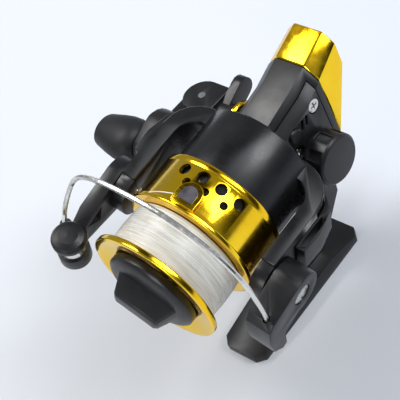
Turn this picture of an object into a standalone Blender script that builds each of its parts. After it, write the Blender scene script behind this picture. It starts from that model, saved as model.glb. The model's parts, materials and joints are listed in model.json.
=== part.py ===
# Small spinning reel, standing on its rod foot. Metres, +Z up, front of the spool towards -Y.
# The origin is the centre of the foot's seat face; the spool axis runs along Y above it.
# The handle screw cap is on +X and the folding handle on -X.
import math

import bmesh
import bpy

mm = 0.001
degree = math.pi / 180

# Clearances
touch_gap = 0.3 * mm          # between pieces that rest on each other
running_gap = 0.08 * mm       # radial gap of a turning shaft
overrun = 2.0 * mm            # how far a cutter passes a face
weld_distance = 0.02 * mm
round_steps = 36
small_steps = 16
hole_steps = 12

# Reel layout
axis_height = 53.0 * mm       # spool axis above the foot's seat
spool_front_y = -38.0 * mm    # front face of the spool flange
rotor_back_y = 13.0 * mm
handle_y = 22.5 * mm          # handle axis
handle_drop = 7.0 * mm        # handle axis below the spool axis
rotor_rest = 17.4 * degree    # arms' line at rest, turned about the spool axis

# Spool
flange_radius = 20.0 * mm
flange_rim = 1.8 * mm
flange_dish = 0.9 * mm
line_width = 14.2 * mm
line_radius = 17.2 * mm
arbor_radius = 11.5 * mm
rear_lip = 1.4 * mm
skirt_radius = 19.3 * mm
skirt_wall = 1.1 * mm
skirt_length = 14.2 * mm
rim_round = 0.5 * mm
spool_floor = 1.8 * mm
drag_well_radius = 9.0 * mm
drag_well_depth = 8.0 * mm
big_hole_radius = 1.75 * mm
small_hole_radius = 1.2 * mm
big_hole_from_rear = 4.4 * mm
small_hole_from_rear = 7.6 * mm
hole_pitch = 18.4 * degree
hole_group_angle = 23.0 * degree
big_hole_count = 4
hole_groups = 2

# Line on the spool: a plain core with one wound layer over it
wound_loops = 15
wound_points = 16
thread_radius = 0.21 * mm
thread_least_gap = 0.4 * mm

# Line clip on the skirt
clip_angle = 16.0 * degree
clip_width = 7.6 * mm
clip_length = 7.4 * mm
clip_rise = 1.1 * mm
clip_peg_radius = 0.9 * mm

# Drag knob and stack
knob_base_radius = 13.8 * mm
knob_base_length = 2.6 * mm
knob_tip_y = -46.4 * mm
knob_bar_length = 20.0 * mm
knob_bar_tip_length = 14.0 * mm
knob_bar_width = 8.6 * mm
knob_bar_tip_width = 5.6 * mm
knob_edge_round = 0.7 * mm
knob_turn = 28.0 * degree
knob_pocket_depth = 3.2 * mm
washer_radius = 8.4 * mm
washer_thick = 0.8 * mm
drag_nut_flats = 6.0 * mm
drag_nut_length = 2.6 * mm
drag_spring_radius = 4.2 * mm
drag_spring_wire = 0.45 * mm
drag_spring_turns = 3
retainer_wire = 0.5 * mm

# Main shaft
shaft_radius = 1.5 * mm
shaft_rear_y = 29.4 * mm
shaft_flat = 0.45 * mm
seat_washer_radius = 5.0 * mm
seat_washer_thick = 1.2 * mm
clicker_radius = 7.4 * mm
clicker_thick = 1.4 * mm
clicker_teeth = 16
clicker_tooth = 0.7 * mm

# Rotor
drum_radius = 17.5 * mm
drum_wall = 1.6 * mm
drum_front_y = -14.5 * mm
rotor_plate = 5.5 * mm
drum_inset = 0.4 * mm         # drum's back and floor, inside the frame's faces
hub_inset = 0.15 * mm
arm_inner = 21.3 * mm
arm_thick = 4.4 * mm
arm_width = 16.0 * mm
arm_corner = 11.0 * mm
arm_edge_round = 1.3 * mm
pivot_y = -17.3 * mm
hub_radius = 7.0 * mm
rotor_nut_flats = 8.0 * mm
rotor_nut_length = 2.4 * mm
arm_cover_thick = 3.6 * mm
arm_cover_length = 21.0 * mm
arm_cover_width = 10.0 * mm
cover_slot_width = 3.2 * mm
cover_slot_length = 11.0 * mm

# Bail
holder_thick = 8.2 * mm
holder_reach = 14.5 * mm
holder_tip_radius = 4.0 * mm
holder_socket_radius = 1.1 * mm
roller_arm_thick = 4.35 * mm
roller_forward = 23.6 * mm    # roller centre ahead of the pivot
roller_aside = 25.6 * mm      # roller centre from the spool axis
roller_radius = 3.7 * mm
roller_length = 4.4 * mm
roller_rise = 1.0 * mm        # roller's lower face above the arms' line
roller_cap_radius = 5.1 * mm
roller_cap_length = 3.0 * mm
roller_pin_radius = 1.2 * mm
wire_radius = 0.75 * mm
bail_screw_radius = 3.0 * mm
bail_screw_shank = 1.6 * mm
bail_screw_head = 1.6 * mm
bail_open = 95.0 * degree
spring_wire = 0.35 * mm
spring_coil_radius = 3.0 * mm
spring_coil_turns = 2
spring_room_depth = 3.3 * mm
trip_lever_length = 16.0 * mm
trip_lever_width = 3.0 * mm
trip_lever_thick = 1.4 * mm

# Body
body_half_width = 9.7 * mm
body_wall = 1.8 * mm
body_front_gap = 0.8 * mm     # behind the rotor
body_top = 11.5 * mm          # above the spool axis at the front
body_tail_top = 19.0 * mm
body_tail_foot = 5.0 * mm
body_tail_y = 44.0 * mm
body_floor = 17.6 * mm        # below the spool axis
chamfer = 4.6 * mm
body_bend_y = 26.0 * mm
body_bend_half_width = 9.4 * mm
body_bend_floor = 17.4 * mm
body_bend_top = 13.4 * mm
tail_half_width = 8.3 * mm
tail_chamfer = 3.4 * mm
floor_chamfer = 2.6 * mm
cover_rear_y = 31.0 * mm
cover_boss_radius = 6.0 * mm
vent_width = 1.0 * mm
vent_length = 3.2 * mm
vent_depth = 0.8 * mm
cap_joint_y = 33.0 * mm       # where the rear cap begins
joint_half_width = 9.1 * mm
joint_floor = 14.0 * mm
joint_top = 15.6 * mm
joint_chamfer = 4.1 * mm
rear_cap_wall = 1.2 * mm
side_cover_thick = 3.1 * mm
cover_screw_radius = 1.3 * mm
cover_screw_head = 2.1 * mm
cover_screw_head_length = 1.0 * mm
cover_screw_length = 7.5 * mm

# Stem and foot
stem_front_y = 14.8 * mm
stem_rear_y = 31.0 * mm
stem_foot_front_y = -7.0 * mm
stem_foot_rear_y = 12.0 * mm
stem_width = 6.0 * mm
foot_length = 52.0 * mm
foot_width = 15.5 * mm
foot_thick = 5.0 * mm
foot_tip_thick = 2.4 * mm
foot_corner = 5.0 * mm
edge_soft = 0.4 * mm

# Drive
oscillation_x = 3.3 * mm      # inner face of the oscillation gear
pinion_teeth = 6
drive_teeth = 30
pinion_radius = 3.0 * mm
pinion_root = 2.3 * mm
pinion_tube = 2.6 * mm
pinion_toothed_length = 5.0 * mm
drive_radius = 6.6 * mm
drive_root = 5.9 * mm
drive_thick = 2.0 * mm
mesh_gap = 0.15 * mm
axle_radius = 2.6 * mm
bush_radius = 4.4 * mm
bush_length = 2.4 * mm
bearing_radius = 5.6 * mm
bearing_length = 2.4 * mm
oscillation_teeth = 20
step_teeth = 10
oscillation_radius = 5.2 * mm
oscillation_root = 4.6 * mm
oscillation_thick = 1.2 * mm
step_radius = 3.3 * mm
step_root = 2.8 * mm
step_thick = 1.4 * mm
oscillation_forward = 5.0 * mm
eccentric_throw = 3.0 * mm
eccentric_radius = 0.6 * mm
eccentric_length = 1.05 * mm
post_radius = 1.3 * mm

# Slide stroke of the spool
slide_forward = 0.5 * mm
slide_back = 5.5 * mm

# Handle, modelled with its arm pointing to -Y and turned as photographed
handle_rest = 5.0 * degree
sleeve_radius = 5.2 * mm
sleeve_length = 9.5 * mm
neck_radius = 4.2 * mm
fork_x = -33.0 * mm           # fold pin's place along the handle axis
fork_length = 13.0 * mm
fork_width = 12.0 * mm
fork_height = 11.0 * mm
tang_height = 5.0 * mm
collar_ring_radius = 5.8 * mm
collar_ring_length = 1.6 * mm
tongue_length = 13.0 * mm
tongue_width = 6.4 * mm
tongue_thick = 3.0 * mm
tongue_lean = 25.0 * degree
fold_pin_radius = 1.2 * mm
crank_radius = 20.5 * mm
crank_root_radius = 7.2 * mm
crank_tip_radius = 4.6 * mm
crank_thick = 5.0 * mm
crank_offset = 3.4 * mm       # arm's middle outside the fold pin
spindle_radius = 1.5 * mm
knob_length = 16.0 * mm
# Knob's side: shares of its length and of its greatest radius
knob_shares = ((0.05, 0.78), (0.14, 0.93), (0.28, 1.0), (0.45, 0.99), (0.65, 0.91), (0.85, 0.8),
               (0.96, 0.74))
knob_neck_radius = 4.6 * mm
knob_waist_radius = 7.5 * mm
knob_end_radius = 5.4 * mm
knob_flat_share = 0.82        # knob's thickness as a share of its width
cap_radius = 7.7 * mm
cap_length = 6.8 * mm
cap_flutes = 8
cap_flute_width = 3.0 * mm
cap_flute_depth = 0.9 * mm
cap_flute_length = 4.6 * mm
cap_edge_round = 0.8 * mm
cap_screw_radius = 1.3 * mm
boss_length = 0.9 * mm

# Anti-reverse
ratchet_radius = 4.1 * mm
ratchet_teeth = 12
ratchet_thick = 1.4 * mm
ratchet_root = 3.4 * mm
switch_y = 17.6 * mm
switch_rise = 5.6 * mm         # above the spool axis
switch_radius = 2.2 * mm
switch_proud = 0.9 * mm
switch_shank = 1.2 * mm
switch_swing = 12.0 * degree
pawl_thick = 1.4 * mm
pawl_width = 2.0 * mm


# Scene and collections
for old in list(bpy.data.objects):
    bpy.data.objects.remove(old, do_unlink=True)

reel = bpy.data.collections.new("spinning_reel")
guides = bpy.data.collections.new("cutters")
bpy.context.scene.collection.children.link(reel)
bpy.context.scene.collection.children.link(guides)


def material(name, colour, roughness, metallic=0.0):
    made = bpy.data.materials.new(name)
    made.use_nodes = True
    shader = made.node_tree.nodes["Principled BSDF"]
    shader.inputs["Base Color"].default_value = (*colour, 1.0)
    shader.inputs["Roughness"].default_value = roughness
    shader.inputs["Metallic"].default_value = metallic
    return made


black_plastic = material("black_plastic", (0.013, 0.014, 0.018), 0.42)
gold_plate = material("gold_plate", (0.86, 0.52, 0.02), 0.18, 1.0)
bright_steel = material("bright_steel", (0.62, 0.61, 0.58), 0.22, 1.0)
brass = material("brass", (0.72, 0.50, 0.18), 0.35, 1.0)
zinc = material("zinc", (0.45, 0.46, 0.48), 0.45, 1.0)
clear_line = material("clear_line", (0.72, 0.68, 0.61), 0.3)
grey_clip = material("grey_clip", (0.20, 0.18, 0.20), 0.4)
felt = material("felt", (0.35, 0.28, 0.18), 0.95)


def pivot(name, place, turn=(0, 0, 0), parent=None):
    empty = bpy.data.objects.new(name, None)
    empty.location = place
    empty.rotation_euler = turn
    empty.parent = parent
    reel.objects.link(empty)
    return empty


spool_axis = pivot("spool_axis", (0, 0, axis_height))
rotor_axis = pivot("rotor_axis", (0, 0, axis_height), (0, rotor_rest, 0))
bail_axis = pivot("bail_axis", (0, pivot_y, 0), (0, 0, 0), rotor_axis)
handle_axis = pivot("handle_axis", (0, handle_y, axis_height - handle_drop), (-handle_rest, 0, 0))
drive_axis = pivot("drive_axis", (0, handle_y, axis_height - handle_drop))


def smooth(mesh):
    mesh.shade_smooth()
    mesh.set_sharp_from_angle(angle=32 * degree)


def place(name, mesh, look, parent=None, location=(0, 0, 0), turn=(0, 0, 0), cutter=False):
    made = bpy.data.objects.new(name, mesh)
    made.location = location
    made.rotation_euler = turn
    made.parent = parent
    if cutter:
        made.hide_render = True
        made.display_type = "WIRE"
        guides.objects.link(made)
    else:
        mesh.materials.append(look)
        reel.objects.link(made)
    return made


def from_bmesh(name, shape):
    mesh = bpy.data.meshes.new(name)
    bmesh.ops.recalc_face_normals(shape, faces=shape.faces)
    shape.to_mesh(mesh)
    shape.free()
    smooth(mesh)
    return mesh


# Turns that lay a shape made along Z onto another axis
along_y = (math.pi / 2, 0, 0)     # +Z goes to -Y
along_x = (0, math.pi / 2, 0)     # +Z goes to +X


def rod(name, radius, length, look=None, parent=None, location=(0, 0, 0), turn=(0, 0, 0),
        cutter=False, tip_radius=None, steps=round_steps):
    shape = bmesh.new()
    bmesh.ops.create_cone(shape, cap_ends=True, segments=steps, radius1=radius,
                          radius2=radius if tip_radius is None else tip_radius, depth=length)
    return place(name, from_bmesh(name, shape), look, parent, location, turn, cutter)


def block(name, size, look=None, parent=None, location=(0, 0, 0), turn=(0, 0, 0), cutter=False):
    shape = bmesh.new()
    bmesh.ops.create_cube(shape, size=1)
    bmesh.ops.scale(shape, vec=size, verts=shape.verts)
    return place(name, from_bmesh(name, shape), look, parent, location, turn, cutter)


def turned(name, outline, look=None, parent=None, location=(0, 0, 0), turn=(0, 0, 0),
           cutter=False, steps=round_steps, closed=False):
    """Turn (radius, height) points, listed down the outer side, about Z."""
    mesh = bpy.data.meshes.new(name)
    points = [(radius, 0, height) for radius, height in outline]
    edges = [(i, i + 1) for i in range(len(points) - 1)]
    if closed:
        edges.append((len(points) - 1, 0))
    mesh.from_pydata(points, edges, [])
    made = place(name, mesh, look, parent, location, turn, cutter)
    screw = made.modifiers.new("turn", "SCREW")
    screw.axis = "Z"
    screw.steps = steps
    screw.render_steps = steps
    screw.use_merge_vertices = True
    screw.merge_threshold = weld_distance
    screw.use_smooth_shade = True
    return made


def flat(name, points, thickness, look=None, parent=None, location=(0, 0, 0), turn=(0, 0, 0),
         cutter=False, holes=()):
    """Extrude a closed outline in XY, with optional hole outlines, by its thickness about z = 0."""
    drawing = bpy.data.curves.new(name, "CURVE")
    drawing.dimensions = "2D"
    drawing.fill_mode = "BOTH"
    drawing.extrude = thickness / 2
    for ring in (points, *holes):
        spline = drawing.splines.new("POLY")
        spline.points.add(len(ring) - 1)
        for knot, (x, y) in zip(spline.points, ring):
            knot.co = (x, y, 0, 1)
        spline.use_cyclic_u = True
    return solid_curve(name, drawing, look, parent, location, turn, cutter)


def solid_curve(name, drawing, look, parent=None, location=(0, 0, 0), turn=(0, 0, 0), cutter=False):
    draft = bpy.data.objects.new(name + "_draft", drawing)
    reel.objects.link(draft)
    bpy.context.view_layer.update()
    seen = draft.evaluated_get(bpy.context.evaluated_depsgraph_get())
    mesh = bpy.data.meshes.new_from_object(seen)
    mesh.materials.clear()
    bpy.data.objects.remove(draft, do_unlink=True)
    shape = bmesh.new()
    shape.from_mesh(mesh)
    bmesh.ops.remove_doubles(shape, verts=shape.verts, dist=weld_distance)
    shape.to_mesh(mesh)
    shape.free()
    smooth(mesh)
    return place(name, mesh, look, parent, location, turn, cutter)


def tube(name, points, radius, look, parent=None, location=(0, 0, 0), turn=(0, 0, 0), sides=2):
    drawing = bpy.data.curves.new(name, "CURVE")
    drawing.dimensions = "3D"
    drawing.bevel_depth = radius
    drawing.bevel_resolution = sides
    drawing.render_resolution_u = drawing.resolution_u
    drawing.use_fill_caps = True
    spline = drawing.splines.new("POLY")
    spline.points.add(len(points) - 1)
    for knot, (x, y, z) in zip(spline.points, points):
        knot.co = (x, y, z, 1)
    return solid_curve(name, drawing, look, parent, location, turn)


def combine(made, other, operation, solver="EXACT"):
    change = made.modifiers.new(operation.lower(), "BOOLEAN")
    change.operation = operation
    change.solver = solver
    change.object = other
    return made


def cut(made, *cutters):
    for cutter in cutters:
        combine(made, cutter, "DIFFERENCE")
    return made


def join(made, *others):
    for other in others:
        combine(made, other, "UNION")
    return made


def rounded(made, width, angle=40 * degree, segments=1):
    bevel = made.modifiers.new("edge", "BEVEL")
    bevel.width = width
    bevel.segments = segments
    bevel.limit_method = "ANGLE"
    bevel.angle_limit = angle
    bevel.use_clamp_overlap = True
    return made


def arc(centre, radius, start, end, steps):
    """Points of an arc in a plane, angles in radians."""
    return [(centre[0] + radius * math.cos(start + (end - start) * i / steps),
             centre[1] + radius * math.sin(start + (end - start) * i / steps))
            for i in range(steps + 1)]


def ring_points(radius, steps=small_steps, centre=(0, 0)):
    return arc(centre, radius, 0, 2 * math.pi, steps)[:-1]


def swung(points, angle):
    """Outline points turned about the outline's origin."""
    c, s = math.cos(angle), math.sin(angle)
    return [(x * c - y * s, x * s + y * c) for x, y in points]


def toothed(outer, root, teeth, lean=0.0):
    """A gear's outline: each tooth is a root, a rise and a tip."""
    points = []
    for tooth in range(teeth):
        start = 2 * math.pi * tooth / teeth
        step = 2 * math.pi / teeth
        for radius, share in ((root, 0.0), (root, 0.3), (outer, 0.45 + lean), (outer, 0.75 + lean)):
            angle = start + step * share
            points.append((radius * math.cos(angle), radius * math.sin(angle)))
    return points


def loft(name, sections, look=None, parent=None, location=(0, 0, 0), cutter=False):
    """Join rings of equally many points, given as (x, y, z) lists, into one closed solid."""
    shape = bmesh.new()
    rings = [[shape.verts.new(point) for point in section] for section in sections]
    for near, far in zip(rings, rings[1:]):
        count = len(near)
        for i in range(count):
            shape.faces.new((near[i], near[(i + 1) % count], far[(i + 1) % count], far[i]))
    shape.faces.new(list(reversed(rings[0])))
    shape.faces.new(rings[-1])
    return place(name, from_bmesh(name, shape), look, parent, location, (0, 0, 0), cutter)


# Body: the cross section at any place along the spool axis, heights from that axis
in_yz = (math.pi / 2, 0, math.pi / 2)     # an XY outline laid into YZ, its thickness along X
body_front_y = rotor_back_y + body_front_gap
body_stations = [
    (body_front_y, body_half_width, -body_floor, body_top, chamfer),
    (body_bend_y, body_bend_half_width, -body_bend_floor, body_bend_top, chamfer),
    (cap_joint_y, joint_half_width, -joint_floor, joint_top, joint_chamfer),
    (body_tail_y, tail_half_width, body_tail_foot, body_tail_top, tail_chamfer),
]


def body_ring(y, inset=0.0):
    for near, far in zip(body_stations, body_stations[1:]):
        if y <= far[0]:
            break
    share = (y - near[0]) / (far[0] - near[0])
    half, low, high, corner = [a + (b - a) * share for a, b in zip(near[1:], far[1:])]
    half, low, high = half - inset, low + inset, high - inset
    foot = floor_chamfer
    return [(-half, y, low + foot), (-half, y, high - corner), (-half + corner, y, high),
            (half - corner, y, high), (half, y, high - corner), (half, y, low + foot),
            (half - foot, y, low), (-half + foot, y, low)]


def body_solid(name, inset, stops, look=None, cutter=False, ends=None):
    rings = []
    for index, y in enumerate(stops):
        ring = body_ring(y, inset)
        if ends and index in ends:
            ring = [(px, ends[index], pz) for px, py, pz in ring]
        rings.append(ring)
    return loft(name, rings, look, spool_axis, cutter=cutter)


def foot_ring(y, thick, half):
    return [(-half, y, 0), (half, y, 0), (half, y, thick), (-half, y, thick)]


def make_body():
    housing = body_solid("body_housing", 0, (body_front_y, body_bend_y, cap_joint_y), black_plastic)
    drop = -axis_height
    stem_points = [(stem_front_y, -body_floor + body_wall), (stem_rear_y, -body_floor / 2),
                   (stem_rear_y - stem_width / 2, -body_floor - body_floor),
                   (stem_foot_rear_y, drop + foot_thick / 2), (stem_foot_front_y, drop + foot_thick / 2),
                   (stem_front_y - stem_width, drop + 2 * foot_thick),
                   (stem_front_y, drop + 3 * foot_thick)]
    stem = flat("stem", stem_points, stem_width, parent=spool_axis, turn=in_yz, cutter=True)
    half = foot_width / 2
    tip = half - foot_corner / 2
    foot = loft("foot", [foot_ring(-foot_length / 2, foot_tip_thick, tip),
                         foot_ring(-foot_length / 2 + foot_corner / 2, foot_tip_thick, half),
                         foot_ring(stem_foot_front_y, foot_thick, half),
                         foot_ring(stem_foot_rear_y, foot_thick, half),
                         foot_ring(foot_length / 2 - foot_corner / 2, foot_tip_thick, half),
                         foot_ring(foot_length / 2, foot_tip_thick, tip)], cutter=True)
    back = cap_joint_y + overrun
    hollow = body_solid("body_hollow", body_wall, (body_front_y + body_wall, body_bend_y, cap_joint_y),
                        cutter=True, ends={2: back})
    cover_space = block("cover_space", (body_half_width, cover_rear_y - body_front_y + overrun,
                                        4 * body_floor), parent=spool_axis, cutter=True,
                        location=(body_half_width * 1.5 - side_cover_thick,
                                  (cover_rear_y + body_front_y - overrun) / 2, 0))
    bearing_seat = rod("bearing_seat", bearing_radius + touch_gap, body_wall + 2 * overrun, cutter=True,
                       parent=spool_axis, location=(0, body_front_y, 0), turn=along_y)
    handle_seat = rod("handle_seat", bush_radius + touch_gap, body_half_width, cutter=True,
                      parent=drive_axis, location=(-body_half_width, 0, 0), turn=along_x)
    join(housing, stem, foot)
    cut(housing, hollow, cover_space, bearing_seat, handle_seat)
    return housing


def make_side_cover():
    cover = body_solid("side_cover", 0, (body_front_y, body_bend_y, cover_rear_y - touch_gap),
                       black_plastic)
    inner = body_half_width - side_cover_thick + touch_gap
    rest = block("cover_rest", (4 * body_half_width, 4 * body_tail_y, 4 * body_floor),
                 parent=spool_axis, cutter=True, location=(inner - 2 * body_half_width, 0, 0))
    boss = rod("cover_boss", cover_boss_radius, side_cover_thick + boss_length, parent=drive_axis,
               cutter=True, turn=along_x,
               location=(inner + (side_cover_thick + boss_length) / 2, 0, 0))
    seat = rod("cover_seat", bush_radius + touch_gap, 4 * side_cover_thick, cutter=True,
               parent=drive_axis, location=(body_half_width, 0, 0), turn=along_x)
    post_y, post_z = oscillation_centre()
    reach = inner + side_cover_thick / 2 - oscillation_x + mesh_gap
    post = rod("oscillation_post", post_radius, reach, parent=drive_axis, cutter=True, turn=along_x,
               location=(oscillation_x - mesh_gap + reach / 2, post_y, post_z), steps=small_steps)
    switch_bore = rod("switch_bore", switch_shank + running_gap, 4 * side_cover_thick, cutter=True,
                      parent=spool_axis, location=(body_half_width, switch_y, switch_rise),
                      turn=along_x, steps=small_steps)
    cut(cover, rest)
    join(cover, boss, post)
    cut(cover, seat, switch_bore)
    for index in range(2):
        vent = block(f"vent_{index}", (2 * vent_depth, vent_width, vent_length), parent=spool_axis,
                     cutter=True, turn=(-20 * degree, 0, 0),
                     location=(body_ring(body_bend_y)[4][0], switch_y + (index + 2) * 2 * vent_width,
                               switch_rise))
        cut(cover, vent)
    for index, (y, z) in enumerate(cover_screw_places()):
        hole = rod(f"cover_screw_hole_{index}", cover_screw_radius + running_gap, 6 * side_cover_thick,
                   parent=spool_axis, cutter=True, turn=along_x, steps=small_steps,
                   location=(body_half_width, y, z))
        sink = rod(f"cover_screw_sink_{index}", cover_screw_head + touch_gap, side_cover_thick,
                   parent=spool_axis, cutter=True, turn=along_x, steps=small_steps,
                   location=(cover_screw_x() + side_cover_thick / 2 - touch_gap, y, z))
        cut(cover, hole, sink)
    return cover


def cover_screw_x():
    """Where a side cover screw's head rests."""
    return body_half_width - side_cover_thick / 2


def cover_screw_places():
    low = -body_floor + floor_chamfer + cover_screw_head
    return [(body_front_y + cover_screw_head + body_wall / 2, low),
            (body_front_y + cover_screw_head + body_wall / 2, low + body_floor - switch_rise),
            (cover_rear_y - cover_screw_head - body_wall / 2, body_bend_top / 2)]


def oscillation_centre():
    """The oscillation gear's centre from the handle axis."""
    reach = step_radius + oscillation_radius + mesh_gap
    return oscillation_forward, math.sqrt(reach ** 2 - oscillation_forward ** 2)


def make_rear_cap():
    joint = cap_joint_y + touch_gap
    cap = body_solid("rear_cap", 0, (joint, body_tail_y), gold_plate)
    hollow = body_solid("cap_hollow", rear_cap_wall, (joint, body_tail_y - 2 * rear_cap_wall),
                        cutter=True, ends={0: joint - overrun})
    cut(rounded(cap, edge_soft), hollow)
    return cap



make_body()
make_side_cover()
make_rear_cap()


def make_cover_screws():
    for index, (y, z) in enumerate(cover_screw_places()):
        seat = cover_screw_x()
        outline = [(0, cover_screw_head_length), (cover_screw_head, cover_screw_head_length),
                   (cover_screw_head, 0), (cover_screw_radius - running_gap, 0),
                   (cover_screw_radius - running_gap, -side_cover_thick / 2),
                   (0, -side_cover_thick / 2)]
        turned(f"cover_screw_{index + 1}", outline, bright_steel, spool_axis,
               location=(seat, y, z), turn=along_x, steps=small_steps)


def make_drive():
    # The pinion is a tube round the main shaft; its front end carries the rotor
    front = rotor_back_y - rotor_plate - rotor_nut_length - touch_gap
    toothed_rear = body_front_y + bearing_length + 4 * touch_gap + pinion_toothed_length
    bore = shaft_radius + running_gap
    pinion = rod("pinion_gear", pinion_tube, toothed_rear - front, brass, spool_axis,
                 (0, (front + toothed_rear) / 2, 0), along_y, steps=small_steps)
    teeth = flat("pinion_teeth", toothed(pinion_radius, pinion_root, pinion_teeth),
                 pinion_toothed_length, parent=spool_axis, turn=along_y, cutter=True,
                 location=(0, toothed_rear - pinion_toothed_length / 2 + touch_gap, 0))
    waist = turned("pinion_waist", [(2 * pinion_radius, pinion_toothed_length),
                                    (2 * pinion_radius, 0), (pinion_root, 0),
                                    (pinion_root, pinion_toothed_length)], parent=spool_axis,
                   cutter=True, turn=along_y, closed=True, steps=small_steps,
                   location=(0, toothed_rear + touch_gap, 0))
    hole = rod("pinion_bore", bore, 3 * (toothed_rear - front), parent=spool_axis, cutter=True,
               turn=along_y, location=(0, front, 0), steps=small_steps)
    cut(pinion, waist)
    join(pinion, teeth)
    cut(pinion, hole)

    bearing_y = body_front_y + bearing_length / 2
    turned("pinion_bearing", [(bearing_radius, bearing_length / 2), (bearing_radius, -bearing_length / 2),
                              (pinion_tube + running_gap, -bearing_length / 2),
                              (pinion_tube + running_gap, bearing_length / 2)],
           bright_steel, spool_axis, (0, bearing_y, 0), along_y, closed=True, steps=small_steps)

    # Drive gear: disc, step gear and hollow axle in one piece on the handle axis
    disc_x = -pinion_radius - mesh_gap - drive_thick / 2
    half = body_half_width + bush_length / 2
    gear = flat("drive_gear", toothed(drive_radius, drive_root, drive_teeth), drive_thick, zinc,
                drive_axis, (disc_x, 0, 0), in_yz)
    axle = rod("drive_axle", axle_radius, 2 * half, parent=drive_axis, turn=along_x, cutter=True,
               steps=small_steps)
    step = flat("step_gear", toothed(step_radius, step_root, step_teeth),
                step_thick, parent=drive_axis, turn=in_yz, cutter=True,
                location=(oscillation_x + step_thick / 2, 0, 0))
    screw_way = rod("axle_bore", cap_screw_radius + touch_gap, 3 * half, parent=drive_axis,
                    turn=along_x, cutter=True, steps=small_steps)
    for added in (axle, step):
        combine(gear, added, "UNION", "MANIFOLD")
    combine(gear, screw_way, "DIFFERENCE", "MANIFOLD")
    ratchet_x = oscillation_x + step_thick + touch_gap + ratchet_thick / 2
    flat("anti_reverse_ratchet", toothed(ratchet_radius, ratchet_root, ratchet_teeth, 0.15),
         ratchet_thick, zinc, drive_axis, (ratchet_x, 0, 0), in_yz,
         holes=[ring_points(axle_radius + running_gap)])
    for side, name in ((-1, "handle_side_bush"), (1, "cap_side_bush")):
        inner = axle_radius + running_gap
        turned(name, [(bush_radius, bush_length / 2), (bush_radius, -bush_length / 2),
                      (inner, -bush_length / 2), (inner, bush_length / 2)], brass, drive_axis,
               (side * (body_half_width - bush_length / 2), 0, 0), along_x, closed=True,
               steps=small_steps)

    # Oscillation gear and the slider on the shaft
    y, z = oscillation_centre()
    wheel = flat("oscillation_gear", toothed(oscillation_radius, oscillation_root, oscillation_teeth),
                 oscillation_thick, brass, drive_axis,
                 (oscillation_x + oscillation_thick / 2, y, z), in_yz,
                 holes=[ring_points(post_radius + running_gap)])
    pin_length = eccentric_length
    angle = slider_angle()
    pin = rod("eccentric_pin", eccentric_radius, pin_length, parent=drive_axis, turn=along_x,
              cutter=True, steps=small_steps,
              location=(oscillation_x + oscillation_thick / 2 - pin_length / 2,
                        y - eccentric_throw * math.cos(angle), z + eccentric_throw * math.sin(angle)))
    join(wheel, pin)


def slider_angle():
    """The eccentric's angle at rest, near the front of its stroke."""
    return math.acos(1 - slide_forward / eccentric_throw)


make_cover_screws()
make_drive()


# Spool, its line and the drag, heights measured forward from the flange's front face
spool_bore = shaft_radius + running_gap
line_front = -flange_rim
line_rear = line_front - line_width
skirt_front = line_rear - rear_lip
skirt_rear = skirt_front - skirt_length
spool_front = (0, spool_front_y, 0)


def on_skirt(angle, height, radius):
    """A place round the spool, its angle from straight up towards +X."""
    return (radius * math.sin(angle), spool_front_y - height, radius * math.cos(angle))


def make_spool():
    well_floor = -drag_well_depth
    web = skirt_front + spool_floor / 2
    cave = arbor_radius - spool_floor
    outline = [
        (drag_well_radius, -flange_dish), (knob_base_radius + 2 * touch_gap, -flange_dish),
        (flange_radius - flange_rim, 0), (flange_radius - rim_round, 0),
        (flange_radius, -rim_round), (flange_radius, line_front + rim_round),
        (flange_radius - rim_round, line_front), (arbor_radius, line_front),
        (arbor_radius, line_rear), (flange_radius - rim_round, line_rear),
        (flange_radius, line_rear - rim_round), (flange_radius, skirt_front + rim_round),
        (skirt_radius, skirt_front), (skirt_radius, skirt_rear + rim_round),
        (skirt_radius - rim_round, skirt_rear), (skirt_radius - skirt_wall, skirt_rear),
        (skirt_radius - skirt_wall, web - spool_floor / 2), (cave, web - spool_floor / 2),
        (cave, well_floor - spool_floor), (spool_bore, well_floor - spool_floor),
        (spool_bore, well_floor), (drag_well_radius, well_floor)]
    spool = turned("spool", outline, gold_plate, spool_axis, spool_front, along_y, closed=True)
    for group in range(hole_groups):
        middle = hole_group_angle + group * 2 * math.pi / hole_groups
        for row, count, radius, back in (("big", big_hole_count, big_hole_radius, big_hole_from_rear),
                                         ("small", big_hole_count - 1, small_hole_radius,
                                          small_hole_from_rear)):
            for index in range(count):
                angle = middle + (index - (count - 1) / 2) * hole_pitch
                hole = rod(f"{row}_hole_{group}_{index}", radius, 6 * skirt_wall, parent=spool_axis,
                           cutter=True, turn=(0, angle, 0), steps=hole_steps,
                           location=on_skirt(angle, skirt_rear + back, skirt_radius))
                cut(spool, hole)
    return spool


def make_line():
    half_width = line_width / 2 - touch_gap
    middle = (line_front + line_rear) / 2
    thread_at = line_radius - thread_radius
    sagitta = thread_at * (1 - math.cos(math.pi / wound_points))
    core = thread_at - thread_radius - sagitta - touch_gap
    inner = arbor_radius + touch_gap
    turned("line_core", [(core, middle + half_width), (core, middle - half_width),
                         (inner, middle - half_width), (inner, middle + half_width)],
           clear_line, spool_axis, spool_front, along_y, closed=True)
    travel = 2 * (half_width - thread_radius)
    points = []
    steps = wound_loops * wound_points
    for step in range(steps + 1):
        angle = 2 * math.pi * step / wound_points
        points.append((thread_at * math.cos(angle), thread_at * math.sin(angle),
                       middle + travel * (0.5 - step / steps)))
    straight = 2 * thread_radius
    first, last = points[0], points[-1]
    points.insert(0, (first[0], first[1] - straight, first[2]))
    points.append((last[0], last[1] + straight, last[2]))
    least = least_gap(points, wound_points // 2) - 2 * thread_radius
    print("line winding, least gap to itself in mm:", round(least / mm, 3))
    if least < thread_least_gap:
        raise ValueError("the wound line's loops are too close")
    tube("line_winding", points, thread_radius, clear_line, spool_axis, spool_front, along_y, sides=1)


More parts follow.
